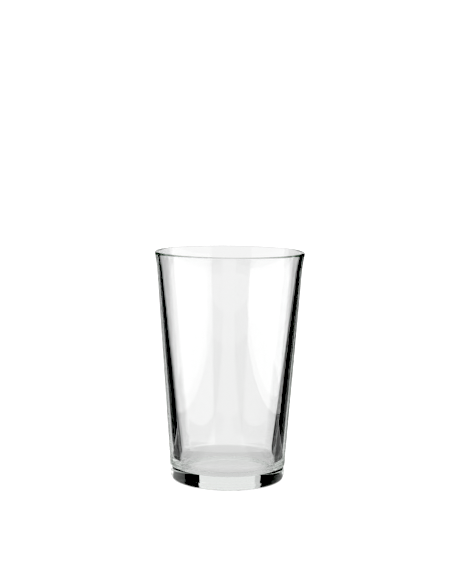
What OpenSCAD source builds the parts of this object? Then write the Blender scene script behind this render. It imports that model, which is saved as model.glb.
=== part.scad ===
// Conical pint glass, pressed in one piece from clear soda-lime glass.
// The origin is on the axis, in the plane that the glass stands on, and +Z points up to the rim.

/* [Outside] */
// Height from the table to the top of the rim
height = 136; // [110:1:150]
// Diameter across the lip, the widest part
rim_d = 88.7; // [80:0.1:96]
// Diameter that the straight side would have at the table
base_d = 67.4; // [60:0.2:76]
// Radius of the rounded heel, where the side turns under
heel_r = 2.8; // [1.5:0.1:4]

/* [Wall] */
// Wall that the straight faces would leave at the height of the rim
lip_wall = 2.2; // [2:0.1:3.2]
// Wall where the side meets the floor of the bowl
foot_wall = 6; // [5:0.1:7.5]
// Thickness of the floor at the axis
floor_t = 7; // [6:0.1:14]
// Radius of the corner between the wall and the floor of the bowl
floor_r = 7.8; // [3:0.1:9]

/* [Lip] */
// Thickness of the lip, a full round
lip_t = 2.1; // [1.8:0.1:2.2]
// How far the lip stands proud of the straight side
lip_proud = 0.7; // [0.4:0.1:1]
// Radius of the curves that lead both faces of the wall out to the lip
flare_r = 75; // [15:1:90]

/* [Underside] */
// Width of the flat ring that the glass stands on
ring_w = 1.7; // [0.6:0.1:4]
// Depth of the flat recess inside that ring, and radius of the curve at its edge
recess_h = 1.6; // [0.6:0.1:3]

/* [Hidden] */

$fn = 96;
arc_steps = 10;

rim_r = rim_d / 2;
base_r = base_d / 2;

// The straight side and the bowl's straight wall, and how far each leans from the vertical
side_top_r = rim_r - lip_proud;
side_lean = atan((side_top_r - base_r) / height);
foot_r = side_at(floor_t) - foot_wall;
bowl_lean = atan((side_top_r - lip_wall - foot_r) / (height - floor_t));

lip_r = lip_t / 2;
lip = [rim_r - lip_r, height - lip_r];

// Each face leaves its straight wall on a curve that ends touching the lip's round
outer = flare_centre(side_at(lip.y), side_lean, flare_r + lip_r);
inner = flare_centre(bowl_at(lip.y), bowl_lean, flare_r - lip_r);
outer_end = angle_to(outer, lip);
inner_end = angle_to(inner, lip);

heel = [side_at(heel_r) - heel_r / cos(side_lean), heel_r];
corner = [bowl_at(floor_t + floor_r) - floor_r / cos(bowl_lean), floor_t + floor_r];

recess_r = heel.x - ring_w;

// Radius of each straight face at height z
function side_at(z) = base_r + z * (side_top_r - base_r) / height;
function bowl_at(z) = foot_r + (z - floor_t) * tan(bowl_lean);

// Centre of a curve of flare_r that touches a leaning wall and passes the lip's centre at a distance of reach
function flare_centre(wall_r, lean, reach) =
    let (
        out = flare_r - (lip.x - wall_r) * cos(lean),
        down = sqrt(pow(reach, 2) - pow(out, 2))
    )
    lip + out * [cos(lean), -sin(lean)] - down * [sin(lean), cos(lean)];

function angle_to(from, to) = atan2(to.y - from.y, to.x - from.x);

// Points along an arc, both ends included
function arc(centre, r, from, to) = [
    for (i = [0 : arc_steps])
        let (a = from + (to - from) * i / arc_steps)
        centre + r * [cos(a), sin(a)]
];

// Half of the glass's section, anticlockwise from the middle of its underside
function section() = concat(
    [[0, recess_h]],
    arc([recess_r - recess_h, 0], recess_h, 90, 0),
    arc(heel, heel_r, -90, -side_lean),
    arc(outer, flare_r, 180 - side_lean, outer_end),
    arc(lip, lip_r, outer_end - 180, 0),
    arc(lip, lip_r, 0, 90),
    arc(lip, lip_r, 90, inner_end),
    arc(inner, flare_r, inner_end, 180 - bowl_lean),
    arc(corner, floor_r, -bowl_lean, -90),
    [[0, floor_t]]
);

module tumbler() {
    color([0.86, 0.91, 0.88, 0.4])
        rotate_extrude()
            polygon(section());
}

tumbler();
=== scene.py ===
# A clear conical pint glass on a pale floor, lit the way glassware is photographed: a white card
# behind it and darkness either side, so that the walls draw themselves as dark lines.
import math

import bmesh
import bpy
from mathutils import Matrix, Vector


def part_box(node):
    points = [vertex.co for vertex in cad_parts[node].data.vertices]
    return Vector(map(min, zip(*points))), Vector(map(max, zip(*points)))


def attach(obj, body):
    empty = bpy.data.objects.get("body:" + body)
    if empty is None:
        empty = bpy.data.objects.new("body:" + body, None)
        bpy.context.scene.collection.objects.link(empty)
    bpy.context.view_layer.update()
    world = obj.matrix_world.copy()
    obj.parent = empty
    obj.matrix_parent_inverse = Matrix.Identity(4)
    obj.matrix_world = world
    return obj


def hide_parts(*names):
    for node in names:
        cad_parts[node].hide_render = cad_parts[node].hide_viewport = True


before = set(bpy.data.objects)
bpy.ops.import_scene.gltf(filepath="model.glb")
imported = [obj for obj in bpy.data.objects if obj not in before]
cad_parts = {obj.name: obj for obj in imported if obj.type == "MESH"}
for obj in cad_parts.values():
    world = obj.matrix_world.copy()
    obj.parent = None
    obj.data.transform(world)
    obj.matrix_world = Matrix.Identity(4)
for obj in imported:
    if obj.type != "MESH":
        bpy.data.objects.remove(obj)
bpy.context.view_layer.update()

MM = 0.001
low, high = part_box("tumbler")
HEIGHT = high.z
RIM_R = min(high.x, -low.x)

# The glass, with the driving sizes that the CAD part has
BASE_R = 33.7 * MM          # the straight side carried down to the floor
HEEL_R = 2.8 * MM           # round where the side turns under
LIP_WALL = 2.2 * MM         # the straight walls carried up to the rim
FOOT_WALL = 6.0 * MM        # wall where it meets the floor of the bowl
FLOOR_T = 7.0 * MM          # floor of the bowl above the table
FLOOR_R = 7.8 * MM          # round between wall and floor
LIP_R = 1.05 * MM           # half the thickness of the rounded lip
LIP_PROUD = 0.7 * MM        # lip outside the line of the side
FLARE_R = 75.0 * MM         # both faces of the wall curve out to the lip
RING_W = 1.7 * MM           # flat ring that the glass stands on
RECESS_H = 1.6 * MM         # flat recess inside that ring, and the curve at its edge

GLASS_IOR = 1.52
GLASS_TINT = (0.40, 0.50, 0.42, 1)
TINT_DENSITY = 3.0          # absorption per metre of glass
WAVE_SCALE = 120            # waves in the skin per metre round the glass
WAVE_STRETCH = 0.2          # how many times longer they are up the wall
WAVE_DETAIL = 2.0
WAVE_DEPTH = 0.008 * MM

AROUND = 720                # steps round the axis
ARC_STEPS = 16


def arc(centre, radius, start, end, steps=ARC_STEPS):
    """Points along an arc in the (r, z) plane, angles in degrees, both ends included."""
    points = []
    for i in range(steps + 1):
        a = math.radians(start + (end - start) * i / steps)
        points.append((centre[0] + radius * math.cos(a), centre[1] + radius * math.sin(a)))
    return points


def glass_section():
    """Half of the glass's section, from the middle of the underside to the middle of the bowl's floor."""
    side_top = RIM_R - LIP_PROUD
    lean = math.atan((side_top - BASE_R) / HEIGHT)

    def side_at(z):
        return BASE_R + z * (side_top - BASE_R) / HEIGHT

    foot = side_at(FLOOR_T) - FOOT_WALL
    bowl_lean = math.atan((side_top - LIP_WALL - foot) / (HEIGHT - FLOOR_T))

    def bowl_at(z):
        return foot + (z - FLOOR_T) * math.tan(bowl_lean)

    lip = (RIM_R - LIP_R, HEIGHT - LIP_R)

    def flare(wall_r, tilt, reach):
        """Centre of the arc that leaves a wall and touches the lip's round, and its angle to the lip."""
        out = FLARE_R - (lip[0] - wall_r) * math.cos(tilt)
        down = math.sqrt(reach ** 2 - out ** 2)
        centre = (lip[0] + out * math.cos(tilt) - down * math.sin(tilt),
                  lip[1] - out * math.sin(tilt) - down * math.cos(tilt))
        return centre, math.degrees(math.atan2(lip[1] - centre[1], lip[0] - centre[0]))

    outer, outer_end = flare(side_at(lip[1]), lean, FLARE_R + LIP_R)
    inner, inner_end = flare(bowl_at(lip[1]), bowl_lean, FLARE_R - LIP_R)
    heel = (side_at(HEEL_R) - HEEL_R / math.cos(lean), HEEL_R)
    corner = (bowl_at(FLOOR_T + FLOOR_R) - FLOOR_R / math.cos(bowl_lean), FLOOR_T + FLOOR_R)
    recess_r = heel[0] - RING_W
    lean, bowl_lean = math.degrees(lean), math.degrees(bowl_lean)
    return (
        [(0.0, RECESS_H)]
        + arc((recess_r - RECESS_H, 0), RECESS_H, 90, 0)
        + arc(heel, HEEL_R, -90, -lean)
        + arc(outer, FLARE_R, 180 - lean, outer_end)
        + arc(lip, LIP_R, outer_end - 180, 0)[1:]
        + arc(lip, LIP_R, 0, 90)[1:]
        + arc(lip, LIP_R, 90, inner_end)[1:]
        + arc(inner, FLARE_R, inner_end, 180 - bowl_lean)[1:]
        + arc(corner, FLOOR_R, -bowl_lean, -90)
        + [(0.0, FLOOR_T)]
    )


def revolve(name, section):
    """A closed mesh made by turning a section, whose two ends lie on the axis, round +Z."""
    mesh = bpy.data.meshes.new(name)
    bm = bmesh.new()
    first = bm.verts.new((0, 0, section[0][1]))
    last = bm.verts.new((0, 0, section[-1][1]))
    rings = []
    for r, z in section[1:-1]:
        ring = []
        for i in range(AROUND):
            a = 2 * math.pi * i / AROUND
            ring.append(bm.verts.new((r * math.cos(a), r * math.sin(a), z)))
        rings.append(ring)
    for i in range(AROUND):
        j = (i + 1) % AROUND
        bm.faces.new((first, rings[0][j], rings[0][i]))
        for lower, upper in zip(rings, rings[1:]):
            bm.faces.new((lower[i], lower[j], upper[j], upper[i]))
        bm.faces.new((last, rings[-1][i], rings[-1][j]))
    bm.to_mesh(mesh)
    bm.free()
    for face in mesh.polygons:
        face.use_smooth = True
    obj = bpy.data.objects.new(name, mesh)
    bpy.context.scene.collection.objects.link(obj)
    return obj


def glass_material():
    mat = bpy.data.materials.new("clear_glass")
    mat.use_nodes = True
    nodes, links = mat.node_tree.nodes, mat.node_tree.links
    bsdf = nodes["Principled BSDF"]
    bsdf.inputs["Base Color"].default_value = (1, 1, 1, 1)
    bsdf.inputs["Roughness"].default_value = 0.0
    bsdf.inputs["IOR"].default_value = GLASS_IOR
    bsdf.inputs["Transmission Weight"].default_value = 1.0
    tint = nodes.new("ShaderNodeVolumeAbsorption")
    tint.inputs["Color"].default_value = GLASS_TINT
    tint.inputs["Density"].default_value = TINT_DENSITY
    links.new(tint.outputs["Volume"], nodes["Material Output"].inputs["Volume"])

    # The skin that the mould leaves is never quite true: long, very shallow waves up and down the wall
    place = nodes.new("ShaderNodeTexCoord")
    stretch = nodes.new("ShaderNodeMapping")
    stretch.inputs["Scale"].default_value = (1, 1, WAVE_STRETCH)
    waves = nodes.new("ShaderNodeTexNoise")
    waves.inputs["Scale"].default_value = WAVE_SCALE
    waves.inputs["Detail"].default_value = WAVE_DETAIL
    skin = nodes.new("ShaderNodeBump")
    skin.inputs["Strength"].default_value = 1.0
    skin.inputs["Distance"].default_value = WAVE_DEPTH
    links.new(place.outputs["Object"], stretch.inputs["Vector"])
    links.new(stretch.outputs["Vector"], waves.inputs["Vector"])
    links.new(waves.outputs["Fac"], skin.inputs["Height"])
    links.new(skin.outputs["Normal"], bsdf.inputs["Normal"])
    return mat


def emitter(name, radiance):
    """A white surface that only glows."""
    mat = bpy.data.materials.new(name)
    mat.use_nodes = True
    nodes, links = mat.node_tree.nodes, mat.node_tree.links
    nodes.remove(nodes["Principled BSDF"])
    glow = nodes.new("ShaderNodeEmission")
    glow.inputs["Color"].default_value = (1, 1, 1, 1)
    glow.inputs["Strength"].default_value = radiance
    links.new(glow.outputs[0], nodes["Material Output"].inputs["Surface"])
    return mat


def backdrop(name, verts, faces, material):
    """A mesh of the surroundings, which isn't a piece of the glass."""
    mesh = bpy.data.meshes.new(name)
    mesh.from_pydata(verts, [], faces)
    mesh.materials.append(material)
    obj = bpy.data.objects.new(name, mesh)
    bpy.context.scene.collection.objects.link(obj)
    return obj


def rectangle(left, right, front, back, z):
    """Corners and face of a level rectangle."""
    return [(left, front, z), (right, front, z), (right, back, z), (left, back, z)], [(0, 1, 2, 3)]


# ---- camera -------------------------------------------------------------------------------
CAM_DISTANCE = 5.80 * HEIGHT
CAM_HEIGHT = 1.492 * HEIGHT
AIM_HEIGHT = 0.822 * HEIGHT
AIM_SIDE = -0.0147 * HEIGHT
ROLL = math.radians(0.65)
LENS = 82.8
SENSOR_WIDTH = 36


def make_camera():
    data = bpy.data.cameras.new("camera")
    data.lens = LENS
    data.sensor_width = SENSOR_WIDTH
    data.clip_start = 0.01
    cam = bpy.data.objects.new("camera", data)
    bpy.context.scene.collection.objects.link(cam)
    place = Vector((0, -CAM_DISTANCE, CAM_HEIGHT))
    aim = Vector((AIM_SIDE, 0, AIM_HEIGHT))
    turn = (aim - place).to_track_quat("-Z", "Y").to_matrix() @ Matrix.Rotation(ROLL, 3, "Z")
    cam.matrix_world = Matrix.Translation(place) @ turn.to_4x4()
    bpy.context.scene.camera = cam
    bpy.context.view_layer.update()


# ---- light rig ----------------------------------------------------------------------------
# Everything in the rig is seen by the glass and not by the camera or the floor.
RIG_RADIUS = 2.0
PANEL_STEP = 6              # degrees between the points of a dome panel
TABLE_Z = -0.2              # mm, just under the foot ring
LEDGE_Z = -30               # mm

# Pieces of a dome round the glass: degrees round from straight behind the glass, clockwise seen from
# above, degrees up from the level, and radiance. What nothing covers is black. The cards stand still, so
# the glass is lit as in the photo from the front, and the gaps between them show from other sides.
DOME = {
    "card_back": (-20, 20, -20, 30, 0.92),
    "card_back_edge": (-25, -20, -20, 30, 0.68),
    "card_low_back_1": (-27, 22, -24, -20, 0.9),
    "card_low_back_2": (-27, 22, -28, -24, 0.88),
    "card_low_back_3": (-27, 22, -32, -28, 0.86),
    "card_low_back_4": (-27, 22, -36, -32, 0.84),
    "card_low_back_5": (-27, 22, -40, -36, 0.82),
    "card_low_back_6": (-27, 22, -90, -40, 0.8),
    "card_left": (-143, -69, -20, 12, 1.42),
    "card_left_high": (-143, -75, 12, 30, 1.2),
    "card_right": (65, 148, -20, 12, 1.95),
    "card_right_high": (68, 148, 12, 30, 1.2),
    "card_right_dim": (36, 65, 5, 20, 0.1),
    "card_front": (148, 217, -20, 30, 0.8),
    "card_over": (-180, 180, 30, 90, 0.75),
    "card_low_left": (-150, -75, -35, -20, 0.8),
    "card_low_right": (68, 150, -35, -20, 1.0),
    "card_low_front": (150, 210, -35, -20, 0.8),
    "card_low_gap_left": (-75, -27, -90, -24, 0.6),
    "card_low_gap_right": (22, 68, -90, -24, 0.6),
    "card_under": (68, 285, -90, -35, 0.8),
}

# The glass stands near the back edge of a table, in millimetres: left, right, front, back, radiance.
# The table glows rather than being lit, with its light and shade painted in: a painted pool of light in line
# with the back card, painted shade and shadow each side of that, and a painted highlight along its edge.
TABLE = {
    "card_table_painted_light": (-50, 45, -300, 38, 0.67),
    # painted shade and shadow each side of the painted pool of light
    "card_near_left_painted_shade": (-66, -50, -300, 38, 0.11),
    "card_near_right_painted_shade": (45, 62, -300, 42, 0.16),
    "card_painted_shadow_left": (-160, -66, -300, 37, 0.13),
    "card_painted_shadow_right": (62, 160, -300, 43, 0.15),
    # painted highlight along the table's edge
    "card_edge_left_painted_highlight": (-160, -66, 37, 41, 0.5),
    "card_edge_right_painted_highlight": (50, 160, 43, 47, 0.3),
}

# A ledge behind the table and below it, which draws the line of the bowl's floor
LEDGE = {
    "card_ledge_1": (-80, 80, 60, 122, 0.75),
    "card_ledge_2": (-80, 80, 122, 132, 0.77),
    "card_ledge_3": (-80, 80, 132, 140, 0.79),
    "card_ledge_4": (-80, 80, 140, 147, 0.82),
    "card_ledge_5": (-80, 80, 147, 153, 0.85),
}


def dome_patch(left, right, down, up):
    across = max(1, round((right - left) / PANEL_STEP))
    rise = max(1, round((up - down) / PANEL_STEP))
    verts, faces = [], []
    for i in range(across + 1):
        turn = math.radians(left + (right - left) * i / across)
        for j in range(rise + 1):
            tilt = math.radians(down + (up - down) * j / rise)
            verts.append((RIG_RADIUS * math.cos(tilt) * math.sin(turn),
                          RIG_RADIUS * math.cos(tilt) * math.cos(turn),
                          RIG_RADIUS * math.sin(tilt) + HEIGHT / 2))
    for i in range(across):
        for j in range(rise):
            k = i * (rise + 1) + j
            faces.append((k, k + 1, k + rise + 2, k + rise + 1))
    return verts, faces


def card(name, shape, radiance):
    obj = backdrop(name, *shape, emitter(name, radiance))
    obj.visible_camera = False
    obj.visible_diffuse = False
    obj.visible_shadow = False


def shelves(sizes, z):
    for name, (left, right, front, back, radiance) in sizes.items():
        card(name, rectangle(left * MM, right * MM, front * MM, back * MM, z * MM), radiance)


def light_rig():
    for name, (left, right, down, up, radiance) in DOME.items():
        card(name, dome_patch(left, right, down, up), radiance)
    shelves(TABLE, TABLE_Z)
    shelves(LEDGE, LEDGE_Z)


# ---- surroundings -------------------------------------------------------------------------
# What the camera sees round the glass. The glass itself sees none of this.
WORLD_GLOW = 1.15
FLOOR_HALF = 6.0
FLOOR_GREY = 0.92
FLOOR_ROUGHNESS = 0.9
LAMP_SIZE = 2.0
LAMP_POWER = 30
LAMP_PLACE = (0, 0.2, 2.0)


def pale_world():
    world = bpy.data.worlds.new("world")
    bpy.context.scene.world = world
    world.use_nodes = True
    back = world.node_tree.nodes["Background"]
    back.inputs["Color"].default_value = (1, 1, 1, 1)
    back.inputs["Strength"].default_value = WORLD_GLOW
    world.cycles_visibility.glossy = False
    world.cycles_visibility.transmission = False


def pale_floor():
    mat = bpy.data.materials.new("floor")
    mat.use_nodes = True
    bsdf = mat.node_tree.nodes["Principled BSDF"]
    bsdf.inputs["Base Color"].default_value = (FLOOR_GREY, FLOOR_GREY, FLOOR_GREY, 1)
    bsdf.inputs["Roughness"].default_value = FLOOR_ROUGHNESS
    bsdf.inputs["Specular IOR Level"].default_value = 0.0
    floor = backdrop("floor", *rectangle(-FLOOR_HALF, FLOOR_HALF, -FLOOR_HALF, FLOOR_HALF, 0), mat)
    floor.visible_transmission = False
    floor.visible_glossy = False


def overhead_lamp():
    lamp = bpy.data.lights.new("overhead", "AREA")
    lamp.shape = "DISK"
    lamp.size = LAMP_SIZE
    lamp.energy = LAMP_POWER
    light = bpy.data.objects.new("overhead", lamp)
    light.location = LAMP_PLACE
    light.visible_glossy = False
    light.visible_transmission = False
    bpy.context.scene.collection.objects.link(light)


BLACK_LEVEL = 0.1           # the contrast of a product photo, where the darkest tenth prints black
BOUNCES = 96                # light for the front of the rim is guided down the wall, reflected many times

make_camera()
pale_world()
pale_floor()
overhead_lamp()
light_rig()

glass = revolve("pint_glass", glass_section())
glass.data.materials.append(glass_material())
glass.visible_shadow = False
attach(glass, "root")
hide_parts("tumbler")

scene = bpy.context.scene
scene.view_settings.view_transform = "Standard"
scene.view_settings.use_curve_mapping = True
scene.view_settings.curve_mapping.black_level = (BLACK_LEVEL,) * 3
scene.cycles.max_bounces = BOUNCES
scene.cycles.transmission_bounces = BOUNCES
scene.cycles.glossy_bounces = BOUNCES
